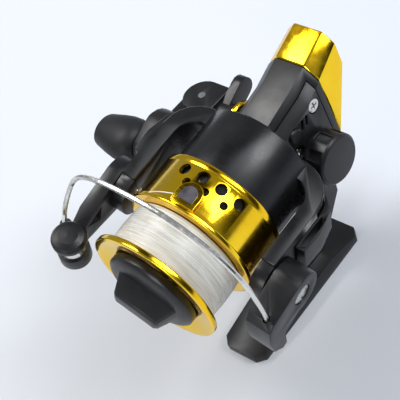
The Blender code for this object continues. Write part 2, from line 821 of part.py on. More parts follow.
def least_gap(points, apart):
    """Least distance between points of a run that lie more than so many steps apart."""
    least = 1.0
    for i, (x, y, z) in enumerate(points):
        for other in points[i + apart:]:
            least = min(least, math.dist((x, y, z), other))
    return least


def make_line_clip():
    """A D-shaped clip plate with a peg, lying on the skirt behind its front lip."""
    half = clip_width / 2
    bow = clip_length - half
    shape = [(-half, 0), (-half, -bow)] + arc((0, -bow), half, math.pi, 2 * math.pi, 10)[1:-1]
    shape += [(half, -bow), (half, 0)]
    low = skirt_radius + touch_gap
    clip = flat("line_clip", shape, clip_rise, grey_clip, spool_axis,
                on_skirt(clip_angle, skirt_front + touch_gap, low + clip_rise / 2),
                (math.pi, clip_angle, 0))
    rounded(clip, rim_round / 2)


def make_drag():
    shaft_front = spool_front_y - knob_base_length
    rod("main_shaft", shaft_radius, shaft_rear_y - shaft_front, bright_steel, spool_axis,
        (0, (shaft_rear_y + shaft_front) / 2, 0), along_y, steps=small_steps)

    inner = shaft_radius + running_gap
    height = -drag_well_depth + touch_gap
    for name, look in (("drag_felt_washer", felt), ("drag_metal_washer", bright_steel),
                       ("drag_key_washer", brass)):
        outer = washer_radius
        turned(name, [(outer, height + washer_thick), (outer, height), (inner, height),
                      (inner, height + washer_thick)], look, spool_axis, spool_front, along_y,
               closed=True, steps=small_steps)
        height += washer_thick + touch_gap

    # Retaining ring: an open wire ring sprung into the well above the washers
    ring_radius = washer_radius - retainer_wire / 2
    opening = 12 * degree
    ring = [(x, y, height + retainer_wire) for x, y in
            arc((0, 0), ring_radius, opening, 2 * math.pi - opening, small_steps)]
    tube("drag_retaining_ring", ring, retainer_wire, bright_steel, spool_axis, spool_front, along_y)

    # Drag spring between the key washer and the nut
    nut_rear = -flange_dish + 2 * touch_gap
    low = height + drag_spring_wire
    high = nut_rear - drag_spring_wire - touch_gap
    steps = drag_spring_turns * 10
    coil = [(drag_spring_radius * math.cos(2 * math.pi * i / 10),
             drag_spring_radius * math.sin(2 * math.pi * i / 10), low + (high - low) * i / steps)
            for i in range(steps + 1)]
    tube("drag_spring", coil, drag_spring_wire, bright_steel, spool_axis, spool_front, along_y, sides=1)

    hexagon = drag_nut_flats / math.sqrt(3)
    flat("drag_nut", ring_points(hexagon, 6), drag_nut_length, brass, spool_axis,
         (0, spool_front_y - nut_rear - drag_nut_length / 2, 0), along_y,
         holes=[ring_points(inner)])

    # Knob: a stepped round base with a tapering bar to turn it by
    knob_axis = pivot("knob_axis", spool_front, (0, knob_turn, 0), spool_axis)
    rear = -flange_dish + touch_gap
    front = rear + knob_base_length
    lip = knob_base_radius - knob_edge_round
    bar_root = lip - 2 * knob_edge_round
    outline = [(0, front + knob_edge_round), (bar_root, front + knob_edge_round), (lip, front),
               (knob_base_radius, front - knob_edge_round), (knob_base_radius, rear), (0, rear)]
    knob = turned("drag_knob", outline, black_plastic, knob_axis, turn=along_y)
    top = spool_front_y - knob_tip_y
    sections = []
    for height, length, width in ((front - knob_edge_round, knob_bar_length, knob_bar_width),
                                  (top, knob_bar_tip_length, knob_bar_tip_width)):
        x, z = length / 2, width / 2
        sections.append([(-x, -height, -z), (x, -height, -z), (x, -height, z), (-x, -height, z)])
    bar = loft("knob_bar", sections, parent=knob_axis, cutter=True)
    rounded(bar, knob_edge_round)
    pocket = rod("knob_pocket", hexagon + touch_gap, 2 * knob_pocket_depth, parent=knob_axis,
                 cutter=True, turn=along_y, steps=small_steps, location=(0, -rear, 0))
    join(knob, bar)
    cut(knob, pocket)

    # Spool seat and clicker on the shaft, inside the spool's rear
    seat_y = spool_front_y + drag_well_depth + spool_floor + touch_gap + seat_washer_thick / 2
    turned("spool_seat_washer", [(seat_washer_radius, seat_washer_thick / 2),
                                 (seat_washer_radius, -seat_washer_thick / 2),
                                 (inner, -seat_washer_thick / 2), (inner, seat_washer_thick / 2)],
           felt, spool_axis, (0, seat_y, 0), along_y, closed=True, steps=small_steps)
    click_y = seat_y + seat_washer_thick / 2 + touch_gap + clicker_thick / 2
    flat("click_gear", toothed(clicker_radius, clicker_radius - clicker_tooth, clicker_teeth),
         clicker_thick, black_plastic, spool_axis, (0, click_y, 0), along_y,
         holes=[ring_points(inner)])


make_spool()
make_line()
make_line_clip()
make_drag()


# Rotor pieces, modelled with the arms' line along X and turned as photographed
def make_rotor():
    outer = arm_inner + arm_thick
    front = pivot_y
    inside = rotor_back_y - rotor_plate
    corner = arm_corner - arm_thick
    outline = [(-outer, front)]
    outline += reversed(arc((-outer + arm_corner, rotor_back_y - arm_corner), arm_corner,
                            math.pi / 2, math.pi, 6))
    outline += reversed(arc((outer - arm_corner, rotor_back_y - arm_corner), arm_corner,
                            0, math.pi / 2, 6))
    outline += [(outer, front), (arm_inner, front)]
    outline += arc((arm_inner - corner, inside - corner), corner, 0, math.pi / 2, 5)
    outline += arc((-arm_inner + corner, inside - corner), corner, math.pi / 2, math.pi, 5)
    outline += [(-arm_inner, front)]
    rotor = flat("rotor", outline, arm_width, black_plastic, rotor_axis)
    rounded(rotor, arm_edge_round)
    inner = drum_radius - drum_wall
    drum = turned("drum", [(inner, -drum_front_y), (drum_radius, -drum_front_y),
                           (drum_radius, -rotor_back_y + arm_edge_round),
                           (drum_radius - arm_edge_round, -rotor_back_y + drum_inset),
                           (pinion_root, -rotor_back_y + drum_inset),
                           (pinion_root, -inside - drum_inset),
                           (inner, -inside - drum_inset)], parent=rotor_axis, turn=along_y, cutter=True, closed=True)
    combine(rotor, drum, "UNION", "MANIFOLD")
    for side in (-1, 1):
        hub = rod(f"arm_hub_{side + 1}", hub_radius, arm_thick - 2 * hub_inset, parent=bail_axis, turn=along_x,
                  cutter=True, location=(side * (arm_inner + arm_thick / 2), 0, 0), steps=32)
        hole = rod(f"arm_hole_{side + 1}", bail_screw_shank + running_gap, 4 * arm_thick,
                   parent=bail_axis, turn=along_x, cutter=True, steps=small_steps,
                   location=(side * outer, 0, 0))
        join(rotor, hub)
        cut(rotor, hole)
    bore = rod("rotor_bore", pinion_tube + running_gap, 4 * rotor_plate, parent=rotor_axis,
               turn=along_y, cutter=True, location=(0, rotor_back_y, 0), steps=small_steps)
    cut(rotor, bore)

    flat("rotor_nut", ring_points(rotor_nut_flats / math.sqrt(3), 6), rotor_nut_length, brass,
         rotor_axis, (0, inside - touch_gap - rotor_nut_length / 2, 0), along_y,
         holes=[ring_points(pinion_tube + running_gap)])


def cover_outline(bulge):
    """A cover hugging an arm's outer side, seen along the arm's width."""
    outer = arm_inner + arm_thick
    centre = (outer - arm_corner, rotor_back_y - arm_corner)
    seat = arm_corner + touch_gap
    front = pivot_y + hub_radius + touch_gap + arm_edge_round
    hug = arc(centre, seat, 45 * degree, 0, 5)
    return ([(outer + touch_gap, front), (outer + bulge * 0.9, front + touch_gap),
             (outer + bulge, centre[1] - bulge), (outer + bulge * 0.55, centre[1] + bulge)] + hug)


def make_arm_covers():
    outer = arm_inner + arm_thick
    front = pivot_y + hub_radius + touch_gap
    slot_x = outer + arm_cover_thick * 0.5
    half = cover_slot_width / 4
    start = front + cover_slot_width
    slot = (arc((slot_x, start), half, math.pi, 2 * math.pi, 4)
            + arc((slot_x, start + cover_slot_length * 0.8), half, 0, math.pi, 4))
    right = flat("bail_arm_cover", cover_outline(arm_cover_thick), arm_cover_width, black_plastic,
                 rotor_axis, holes=[slot])
    rounded(right, rim_round)
    left = flat("roller_arm_cover", [(-x, y) for x, y in cover_outline(arm_cover_thick)],
                arm_cover_width, black_plastic, rotor_axis)
    rounded(left, rim_round)
    lever_x = -outer - touch_gap - trip_lever_thick / 2
    lever_y = front + arm_edge_round + touch_gap + trip_lever_length / 2 - touch_gap
    room = 2 * touch_gap
    way = block("trip_lever_way", (2 * trip_lever_thick + room, trip_lever_length * 2,
                                   trip_lever_width + room), parent=rotor_axis, cutter=True,
                location=(lever_x + trip_lever_thick / 2, lever_y, 0))
    cut(left, way)
    block("trip_lever", (trip_lever_thick, trip_lever_length * 0.6, trip_lever_width), zinc,
          rotor_axis, (lever_x, lever_y - trip_lever_length * 0.2, 0))


# Bail pieces, placed from the bail's pivot line; forward is -Y
holder_shares = [(-0.87, 0.23), (-1.0, 0.07), (-1.03, -0.34), (-0.95, -0.83), (-0.72, -1.09),
                 (-0.57, -1.05), (-0.58, -0.62)]
wire_half_span = 31.3 * mm
wire_rise = 29.2 * mm
wire_forward = 12.0 * mm
# Shares of the half span, of the forward reach and of the rise
wire_shares = [(-1.0, 1.62, -0.02), (-1.0, 1.62, 0.12), (-1.005, 1.48, 0.28), (-1.0, 1.25, 0.44),
               (-0.965, 1.07, 0.6), (-0.87, 1.0, 0.73), (-0.72, 0.98, 0.83), (-0.5, 0.98, 0.92),
               (-0.22, 0.98, 0.985), (0.1, 0.98, 1.0), (0.4, 0.98, 0.93), (0.66, 0.98, 0.78),
               (0.83, 0.98, 0.58), (0.93, 0.98, 0.36), (1.0, 1.0, 0.15), (1.0, 1.0, -0.03)]


def through(knots, steps):
    """A smooth curve through the knots, by Catmull and Rom's rule."""
    points = []
    last = len(knots) - 1
    for i in range(last):
        before, a, b, after = knots[max(i - 1, 0)], knots[i], knots[i + 1], knots[min(i + 2, last)]
        for step in range(steps):
            t = step / steps
            points.append(tuple(
                0.5 * (2 * q + (r - p) * t + (2 * p - 5 * q + 4 * r - s) * t ** 2
                       + (3 * q - p - 3 * r + s) * t ** 3)
                for p, q, r, s in zip(before, a, b, after)))
    return points + [knots[-1]]


def make_bail():
    outer = arm_inner + arm_thick + touch_gap
    holder_x = outer + holder_thick / 2
    outline = arc((0, 0), hub_radius, -110 * degree, 120 * degree, 14)
    outline += [(y * holder_reach, z * holder_reach) for y, z in holder_shares]
    holder = flat("bail_holder", outline, holder_thick, black_plastic, bail_axis,
                  (holder_x, 0, 0), in_yz)
    rounded(holder, 2 * rim_round)
    recess = bail_screw_head + touch_gap
    head_x = outer + holder_thick - recess
    bore = rod("holder_bore", bail_screw_shank + running_gap, 3 * holder_thick, parent=bail_axis,
               cutter=True, turn=along_x, location=(holder_x, 0, 0), steps=small_steps)
    sink = rod("holder_sink", bail_screw_radius + touch_gap, holder_thick, parent=bail_axis,
               cutter=True, turn=along_x, steps=small_steps,
               location=(head_x + holder_thick / 2, 0, 0))
    socket_depth = 0.03 * wire_rise + touch_gap
    socket = rod("wire_socket", wire_radius + touch_gap, holder_reach, parent=bail_axis, cutter=True,
                 steps=small_steps, location=(wire_half_span, -wire_forward,
                                              holder_reach / 2 - socket_depth))
    cut(holder, bore, sink, socket)

    arm_x = -outer - roller_arm_thick / 2
    seat_y = -roller_forward
    seat_top = roller_rise - touch_gap
    seat_length = roller_arm_thick
    tip = roller_cap_radius - rim_round
    plate = (arc((0, 0), hub_radius, -80 * degree, 95 * degree, 12)
             + [(seat_y * 0.58, hub_radius * 0.62),
                (seat_y + roller_radius + 2 * touch_gap, seat_top - touch_gap),
                (seat_y - tip * 0.3, seat_top - touch_gap),
                (seat_y - tip * 0.3, seat_top - seat_length + touch_gap),
                (seat_y * 0.5, -hub_radius * 0.72)])
    web = [(seat_y * 0.42, hub_radius * 0.4), (seat_y * 0.7, hub_radius * 0.12),
           (seat_y * 0.5, -hub_radius * 0.3)]
    arm = flat("roller_arm", plate, roller_arm_thick, black_plastic, bail_axis, (arm_x, 0, 0), in_yz,
               holes=[web])
    seat = rod("roller_seat", tip, seat_length, parent=bail_axis, cutter=True, steps=32,
               location=(-roller_aside, seat_y, seat_top - seat_length / 2))
    ear_y = -wire_forward * wire_shares[0][1]
    ear_radius = wire_radius + 2 * rim_round
    ear = rod("wire_ear", ear_radius, seat_length, parent=bail_axis, cutter=True, steps=small_steps,
              location=(-wire_half_span, ear_y, 0))
    ear_bridge = block("ear_bridge", (2 * ear_radius, ear_radius, seat_length / 2), parent=bail_axis,
                       cutter=True, location=(-wire_half_span + ear_radius, ear_y, 0))
    ear_hole = rod("ear_hole", wire_radius + touch_gap, seat_length, parent=bail_axis, cutter=True,
                   steps=small_steps,
                   location=(-wire_half_span, ear_y,
                             seat_length / 2 - 0.02 * wire_rise - touch_gap))
    pin_way = rod("roller_pin_way", roller_pin_radius + running_gap, 3 * seat_length,
                  parent=bail_axis, cutter=True, steps=small_steps,
                  location=(-roller_aside, seat_y, seat_top))
    pivot_way = rod("roller_arm_bore", bail_screw_shank + running_gap, 4 * roller_arm_thick,
                    parent=bail_axis, cutter=True, turn=along_x, steps=small_steps,
                    location=(arm_x, 0, 0))
    spring_room = rod("spring_room", spring_coil_radius + spring_wire + touch_gap,
                      2 * spring_room_depth, parent=bail_axis, cutter=True, turn=along_x,
                      steps=small_steps, location=(-outer, 0, 0))
    join(arm, seat, ear, ear_bridge)
    cut(arm, ear_hole, pin_way, pivot_way, spring_room)

    knots = [(x * wire_half_span, -y * wire_forward, z * wire_rise) for x, y, z in wire_shares]
    tube("bail_wire", through(knots, 3), wire_radius, bright_steel, bail_axis)

    inner = roller_pin_radius + running_gap
    waist = roller_radius * 0.84
    half = roller_length / 2
    turned("line_roller", [(roller_radius, half), (waist, touch_gap), (waist, -touch_gap),
                           (roller_radius, -half), (inner, -half), (inner, half)], bright_steel,
           bail_axis, (-roller_aside, seat_y, roller_rise + half), closed=True, steps=24)
    cap_low = roller_rise + roller_length + touch_gap
    dome = roller_cap_length
    pin_low = cap_low - seat_top + seat_length * 0.7
    turned("roller_cap", [(0, dome), (roller_cap_radius * 0.55, dome * 0.93),
                          (roller_cap_radius * 0.86, dome * 0.7), (roller_cap_radius, dome * 0.35),
                          (roller_cap_radius, 0), (roller_pin_radius, 0),
                          (roller_pin_radius, -pin_low), (0, -pin_low)], black_plastic, bail_axis,
           (-roller_aside, seat_y, cap_low), steps=32)

    shank = bail_screw_shank
    for name, side, head in (("bail_screw_right", 1, head_x),
                             ("bail_screw_left", -1, outer + roller_arm_thick + touch_gap)):
        reach = head - arm_inner
        turned(name, [(0, bail_screw_head), (bail_screw_radius, bail_screw_head),
                      (bail_screw_radius, 0), (shank, 0), (shank, -reach), (0, -reach)],
               bright_steel, bail_axis, (side * head, 0, 0), (0, side * math.pi / 2, 0),
               steps=small_steps)

    steps = spring_coil_turns * 10
    run = spring_room_depth - 2 * touch_gap - 2 * spring_wire
    start = -outer - touch_gap - spring_wire
    coil = [(start - run * i / steps, spring_coil_radius * math.cos(2 * math.pi * i / 10),
             spring_coil_radius * math.sin(2 * math.pi * i / 10)) for i in range(steps + 1)]
    tube("bail_spring", coil, spring_wire, bright_steel, bail_axis, sides=1)


make_rotor()
make_arm_covers()
make_bail()


# Handle pieces, placed from the handle axis with the arm pointing to -Y
def make_handle():
    near = -body_half_width - touch_gap - bush_length / 2
    sleeve_end = near - sleeve_length
    outline = [(0, near), (axle_radius + touch_gap, near), (sleeve_radius, near - touch_gap),
               (sleeve_radius, sleeve_end), (neck_radius, sleeve_end - touch_gap),
               (neck_radius, fork_x), (0, fork_x)]
    hub = turned("handle_hub", outline, black_plastic, handle_axis, turn=along_x, steps=32)
    half = fork_width / 2
    shape = [(fork_x + fork_length / 2, -half), (fork_x + fork_length / 2, half)]
    shape += arc((fork_x, 0), half, math.pi / 2, 3 * math.pi / 2, 12)
    fork = flat("fork", shape, fork_height, parent=handle_axis, cutter=True)
    rounded(fork, 2 * rim_round)
    slot = block("fork_slot", (fork_length, 2 * fork_width, tang_height + 2 * touch_gap),
                 parent=handle_axis, cutter=True,
                 location=(fork_x - neck_radius + fold_pin_radius, 0, 0))
    tongue_x = fork_x + fork_length / 2 + tongue_thick / 2
    half = tongue_width / 2
    shape = [(0, half), (0, -half)] + arc((tongue_length - half, 0), half, -math.pi / 2,
                                          math.pi / 2, 8)
    tongue = flat("tongue", swung(shape, tongue_lean), tongue_thick, parent=handle_axis,
                  cutter=True, location=(tongue_x, 0, 0), turn=in_yz)
    screw_way = rod("hub_bore", cap_screw_radius + touch_gap, 2 * sleeve_length, parent=handle_axis,
                    cutter=True, turn=along_x, location=(near, 0, 0), steps=small_steps)
    pin_way = rod("fold_pin_way", fold_pin_radius + running_gap, 2 * fork_height,
                  parent=handle_axis, cutter=True, location=(fork_x, 0, 0), steps=small_steps)
    join(hub, fork, tongue)
    cut(hub, slot, screw_way, pin_way)

    ring_x = sleeve_end + collar_ring_length
    inner = sleeve_radius + touch_gap
    half = collar_ring_length / 2
    turned("handle_gold_collar", [(inner + 2 * touch_gap, half), (collar_ring_radius + touch_gap * 2, half / 2),
                                  (collar_ring_radius + touch_gap * 2, -half / 2),
                                  (inner + 2 * touch_gap, -half), (inner, -half), (inner, half)],
           gold_plate, handle_axis, (ring_x, 0, 0), along_x, closed=True, steps=32)
    rod("fold_pin", fold_pin_radius, fork_height, bright_steel, handle_axis, (fork_x, 0, 0),
        steps=small_steps)

    # Crank: tang between the fork's ears, then a bulged arm out to the knob
    arm_x = fork_x - crank_offset - crank_thick / 2
    tip_y = -crank_radius
    root_y = -fork_width / 2 - crank_root_radius - 3 * touch_gap
    angle = math.acos((crank_root_radius - crank_tip_radius) / (root_y - tip_y))
    shape = (arc((root_y, 0), crank_root_radius, -math.pi + angle, math.pi - angle, 14)
             + arc((tip_y, 0), crank_tip_radius, math.pi - angle, math.pi + angle, 10))
    crank = flat("crank_arm", shape, crank_thick, black_plastic, handle_axis, (arm_x, 0, 0), in_yz)
    rounded(crank, 2 * rim_round)
    tang_end = fork_x + fold_pin_radius + rim_round
    tang_low = arm_x - crank_thick / 2 + 2 * rim_round
    tang = block("tang", (tang_end - tang_low, -root_y + 2 * fold_pin_radius, tang_height),
                 parent=handle_axis, cutter=True,
                 location=((tang_end + tang_low) / 2, root_y / 2 + fold_pin_radius, 0))
    pin_hole = rod("crank_pin_hole", fold_pin_radius + running_gap, 2 * fork_height,
                   parent=handle_axis, cutter=True, location=(fork_x, 0, 0), steps=small_steps)
    spindle_way = rod("spindle_way", spindle_radius + running_gap, 3 * crank_thick,
                      parent=handle_axis, cutter=True, turn=along_x, steps=small_steps,
                      location=(arm_x, tip_y, 0))
    for tool, operation in ((tang, "UNION"), (pin_hole, "DIFFERENCE"), (spindle_way, "DIFFERENCE")):
        combine(crank, tool, operation, "MANIFOLD")

    # Knob turns on a headed spindle that is fixed in the arm's tip
    knob_axis = pivot("handle_knob_axis", (arm_x, tip_y, 0), (0, 0, 0), handle_axis)
    knob_near = -crank_thick / 2 - touch_gap
    knob_far = knob_near - knob_length
    head = 2 * rim_round
    turned("knob_spindle", [(0, crank_thick / 2 + head), (spindle_radius * 1.8, crank_thick / 2 + head),
                            (spindle_radius * 1.8, crank_thick / 2 + touch_gap),
                            (spindle_radius, crank_thick / 2 + touch_gap),
                            (spindle_radius, knob_near - knob_length * 0.7),
                            (0, knob_near - knob_length * 0.7)],
           bright_steel, knob_axis, turn=along_x, steps=small_steps)
    bore = (spindle_radius + running_gap) / knob_flat_share
    profile = [(0, knob_near - knob_length * 0.75), (bore, knob_near - knob_length * 0.75),
               (bore, knob_near), (knob_neck_radius, knob_near)]
    for share, radius in knob_shares:
        profile.append((knob_waist_radius * radius, knob_near - knob_length * share))
    profile += [(knob_end_radius * 0.9, knob_far), (0, knob_far)]
    knob = turned("handle_knob", profile, black_plastic, knob_axis, turn=along_x, steps=32)
    knob.scale = (knob_flat_share, 1, 1)


def make_handle_cap():
    start = body_half_width + boss_length + touch_gap
    end = start + cap_length
    outline = [(0, end), (cap_radius - cap_edge_round, end), (cap_radius, end - cap_edge_round),
               (cap_radius, start), (cap_screw_radius, start),
               (cap_screw_radius, -body_half_width - sleeve_length / 2),
               (0, -body_half_width - sleeve_length / 2)]
    cap = turned("handle_screw_cap", outline, black_plastic, handle_axis, turn=along_x)
    for index in range(cap_flutes):
        angle = 2 * math.pi * index / cap_flutes
        reach = cap_radius - cap_flute_depth / 2 + cap_edge_round
        flute = block(f"cap_flute_{index}", (cap_flute_length, cap_flute_width,
                                             cap_flute_depth + 2 * cap_edge_round),
                      parent=handle_axis, cutter=True, turn=(-angle, 0, 0),
                      location=(start + cap_flute_length / 2 + cap_edge_round,
                                reach * math.sin(angle), reach * math.cos(angle)))
        cut(cap, flute)
    return cap


def make_switch():
    """Anti-reverse switch: a button outside, its shank and the pawl inside."""
    top = body_half_width + switch_proud
    ratchet_x = oscillation_x + step_thick + touch_gap
    shank_end = ratchet_x + pawl_thick / 2
    switch = turned("anti_reverse_switch", [
        (0, top), (switch_radius - touch_gap, top), (switch_radius, top - touch_gap),
        (switch_radius, body_half_width + touch_gap), (switch_shank, body_half_width + touch_gap),
        (switch_shank, shank_end), (0, shank_end)], black_plastic, spool_axis,
        (0, switch_y, switch_rise), along_x, steps=small_steps)
    reach = math.dist((switch_y, switch_rise), (handle_y, -handle_drop))
    length = reach - ratchet_radius - 2 * touch_gap
    lean = math.atan2(handle_y - switch_y, switch_rise + handle_drop)
    half = pawl_width / 2
    shape = arc((0, 0), half, 0, math.pi, 8) + [(-half * 0.4, -length), (half * 0.3, -length)]
    pawl = flat("pawl", swung(shape, lean), pawl_thick, parent=spool_axis, cutter=True,
                location=(ratchet_x + pawl_thick / 2, switch_y, switch_rise),
                turn=in_yz)
    join(switch, pawl)


# Crosswind slider: clamped on the shaft, driven by the eccentric pin in its slot
slider_length = 2.6 * mm
slider_half = 2.7 * mm
slider_plate = 0.9 * mm
slider_drop = 4.0 * mm


def make_slider():
    y, z = oscillation_centre()
    angle = slider_angle()
    pin_y = handle_y + y - eccentric_throw * math.cos(angle)
    plate_x = shaft_radius + touch_gap + slider_plate / 2
    slider = block("crosswind_slider", (slider_half + plate_x, slider_length, 2 * slider_half),
                   brass, spool_axis, ((plate_x - slider_half) / 2, pin_y, 0))
    plate = block("slider_plate", (slider_plate, slider_length, slider_half + slider_drop),
                  parent=spool_axis, cutter=True,
                  location=(plate_x, pin_y, (slider_half - slider_drop) / 2 - touch_gap))
    slot_low = z - handle_drop - eccentric_throw - eccentric_radius
    slot = block("slider_slot", (4 * slider_plate, 2 * eccentric_radius + touch_gap,
                                 2 * (eccentric_throw + eccentric_radius)), parent=spool_axis,
                 cutter=True, location=(plate_x + 2 * slider_plate - touch_gap, pin_y,
                                        slot_low + eccentric_throw + eccentric_radius + touch_gap))
    bore = rod("slider_bore", shaft_radius + running_gap, 4 * slider_length, parent=spool_axis,
               cutter=True, turn=along_y, location=(0, pin_y, 0), steps=small_steps)
    join(slider, plate)
    cut(slider, slot, bore)


make_handle()
make_handle_cap()
make_switch()
make_slider()
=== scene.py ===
import bpy, json, math
from mathutils import Matrix, Vector

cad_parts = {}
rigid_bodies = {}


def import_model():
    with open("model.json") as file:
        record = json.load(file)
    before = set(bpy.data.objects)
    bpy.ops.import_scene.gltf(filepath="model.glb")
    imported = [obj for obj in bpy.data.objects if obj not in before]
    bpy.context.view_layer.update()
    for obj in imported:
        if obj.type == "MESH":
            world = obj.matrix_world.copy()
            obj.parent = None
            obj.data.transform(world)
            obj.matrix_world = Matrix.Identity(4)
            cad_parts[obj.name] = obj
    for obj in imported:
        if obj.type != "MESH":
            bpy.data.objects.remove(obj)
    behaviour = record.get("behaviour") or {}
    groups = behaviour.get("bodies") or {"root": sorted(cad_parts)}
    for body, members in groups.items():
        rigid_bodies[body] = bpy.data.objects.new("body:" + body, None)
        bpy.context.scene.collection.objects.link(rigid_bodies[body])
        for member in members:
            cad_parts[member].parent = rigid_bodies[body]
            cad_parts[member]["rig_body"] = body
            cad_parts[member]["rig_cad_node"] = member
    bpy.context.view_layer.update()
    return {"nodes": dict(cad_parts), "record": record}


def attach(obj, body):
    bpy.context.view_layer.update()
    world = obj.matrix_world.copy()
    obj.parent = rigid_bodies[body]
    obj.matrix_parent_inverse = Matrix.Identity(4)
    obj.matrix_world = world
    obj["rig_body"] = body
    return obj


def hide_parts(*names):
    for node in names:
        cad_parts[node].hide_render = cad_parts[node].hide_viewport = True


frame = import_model()
mm = 0.001
nodes = frame["nodes"]
print("frame loaded,", len(nodes), "nodes")


# a wrapped socket, so that masks are written as expressions
class Value:
    def __init__(self, shading, socket):
        self.shading, self.socket = shading, socket

    def __add__(self, other):
        return self.shading.maths("ADD", self, other)

    def __sub__(self, other):
        return self.shading.maths("SUBTRACT", self, other)

    def __rsub__(self, other):
        return self.shading.maths("SUBTRACT", other, self)

    def __mul__(self, other):
        return self.shading.maths("MULTIPLY", self, other)

    __radd__ = __add__
    __rmul__ = __mul__


# the nodes of a material or of the world
class Shading:
    def __init__(self, tree):
        self.tree = tree

    def node(self, kind, settings=None, inputs=None, output=0):
        made = self.tree.nodes.new(kind)
        for key, value in (settings or {}).items():
            setattr(made, key, value)
        for key, value in (inputs or {}).items():
            self.give(made.inputs[key], value)
        return Value(self, made.outputs[output])

    def give(self, socket, value):
        if isinstance(value, Value):
            self.tree.links.new(value.socket, socket)
        else:
            socket.default_value = value

    def maths(self, operation, *values):
        return self.node("ShaderNodeMath", {"operation": operation}, dict(enumerate(values)))

    def spread(self, value, fromLow, fromHigh, toLow=0.0, toHigh=1.0, **settings):
        limits = {"From Min": fromLow, "From Max": fromHigh, "To Min": toLow, "To Max": toHigh}
        return self.node("ShaderNodeMapRange", settings, {"Value": value, **limits})


noiseSpan = (0.35, 0.65)  # where most of a noise lies


class Finish(Shading):
    def __init__(self, name, **constants):
        self.material = bpy.data.materials.new(name)
        self.material.use_nodes = True
        super().__init__(self.material.node_tree)
        self.shader = self.tree.nodes["Principled BSDF"]
        for socket, value in constants.items():
            self.shader.inputs[socket.replace("_", " ")].default_value = value
        self.place = self.node("ShaderNodeTexCoord", output="Object")

    def noise(self, scale, detail=3.0, stretch=(1, 1, 1)):
        place = self.node("ShaderNodeMapping", {}, {"Vector": self.place, "Scale": stretch})
        return self.node("ShaderNodeTexNoise", {}, {"Vector": place, "Scale": scale, "Detail": detail})

    def between(self, noise, low, high):
        return self.spread(noise, *noiseSpan, low, high)

    def tint(self, value, first, second):
        # 6, 7 and output 2 are the colour sockets of the Mix node
        return self.node("ShaderNodeMix", {"data_type": "RGBA"},
                         {"Factor": value, 6: (*first, 1), 7: (*second, 1)}, 2)

    def clouded(self, noise, first, second):
        return self.tint(self.between(noise, 0.0, 1.0), first, second)

    def bump(self, height, distance, strength=1.0):
        return self.node("ShaderNodeBump", {}, {"Height": height, "Distance": distance * mm,
                                                "Strength": strength})

    def feed(self, **sockets):
        for name, value in sockets.items():
            self.give(self.shader.inputs[name.replace("_", " ")], value)
        return self.material


# moulded plastic: a fine eggshell grain, uneven gloss and pale rubbed patches
moulded = {"patches": 90.0, "patchDetail": 4.0, "grain": 4200.0, "grainDetail": 2.0, "rubs": 900.0,
           "rubDetail": 6.0, "dark": (1, 1, 1.15), "pale": (1.5, 1.5, 1.75), "glossRubs": 0.08,
           "rubHeight": 0.5, "grainScale": 2.5, "grainStrength": 0.55, "ior": 1.42}


def black(name, shade=0.008, rough=(0.3, 0.46), grain=0.004):
    finish = Finish(name, IOR=moulded["ior"])
    patches = finish.noise(moulded["patches"], moulded["patchDetail"])
    fine = finish.noise(moulded["grain"], moulded["grainDetail"])
    rubbed = finish.noise(moulded["rubs"], moulded["rubDetail"])
    colour = finish.clouded(patches, *(tuple(shade * part for part in moulded[tone])
                                       for tone in ("dark", "pale")))
    gloss = finish.between(patches, *rough) + rubbed * moulded["glossRubs"] - moulded["glossRubs"] / 2
    surface = finish.bump(fine + rubbed * moulded["rubHeight"], grain * moulded["grainScale"],
                          moulded["grainStrength"])
    return finish.feed(Base_Color=colour, Roughness=gloss, Normal=surface)


# bright gold anodising over turned metal, with fine tool marks round the part
gilding = {"marks": 140.0, "markDetail": 5.0, "clouds": 60.0, "deep": (0.93, 0.55, 0.012),
           "light": (0.98, 0.66, 0.03), "markDepth": 0.004, "markStrength": 0.35}


def gold(name, brushed=(1, 30, 1), rough=(0.1, 0.2)):
    finish = Finish(name, Metallic=1.0)
    marks = finish.noise(gilding["marks"], gilding["markDetail"], brushed)
    clouds = finish.noise(gilding["clouds"])
    return finish.feed(Base_Color=finish.clouded(clouds, gilding["deep"], gilding["light"]),
                       Roughness=finish.between(marks, *rough),
                       Normal=finish.bump(marks, gilding["markDepth"], gilding["markStrength"]))


# bare metal: steel, brass and cast zinc differ in colour and polish
bareMetal = {"marks": 700.0, "markDetail": 5.0, "clouds": 120.0, "darker": 0.82, "markDepth": 0.003,
             "markStrength": 0.3}


def metal(name, colour, rough=(0.16, 0.3)):
    finish = Finish(name, Metallic=1.0)
    marks = finish.noise(bareMetal["marks"], bareMetal["markDetail"])
    clouds = finish.noise(bareMetal["clouds"])
    darker = tuple(part * bareMetal["darker"] for part in colour)
    return finish.feed(Base_Color=finish.clouded(clouds, darker, colour),
                       Roughness=finish.between(marks, *rough),
                       Normal=finish.bump(marks, bareMetal["markDepth"], bareMetal["markStrength"]))


# clear line packed on itself: milky, silky across the windings
milky = {"silk": 500.0, "silkDetail": 4.0, "alongLine": (0.2, 6, 0.2), "clouds": 110.0,
         "shadow": (0.62, 0.58, 0.52), "light": (0.86, 0.84, 0.79), "rough": (0.22, 0.42),
         "silkDepth": 0.02, "silkStrength": 0.5, "depth": 0.4}


def nylon(name):
    finish = Finish(name, IOR=1.53, Coat_Weight=0.35, Coat_Roughness=0.15, Subsurface_Weight=0.15,
                    Subsurface_Scale=milky["depth"] * mm)
    silk = finish.noise(milky["silk"], milky["silkDetail"], milky["alongLine"])
    clouds = finish.noise(milky["clouds"])
    return finish.feed(Base_Color=finish.clouded(silk, milky["shadow"], milky["light"]),
                       Roughness=finish.between(clouds, *milky["rough"]),
                       Normal=finish.bump(silk, milky["silkDepth"], milky["silkStrength"]))


# oiled felt of the drag washers
pressedWool = {"fibres": 2600.0, "fibreDetail": 6.0, "dark": (0.2, 0.15, 0.09), "light": (0.42, 0.34, 0.22),
               "depth": 0.05}


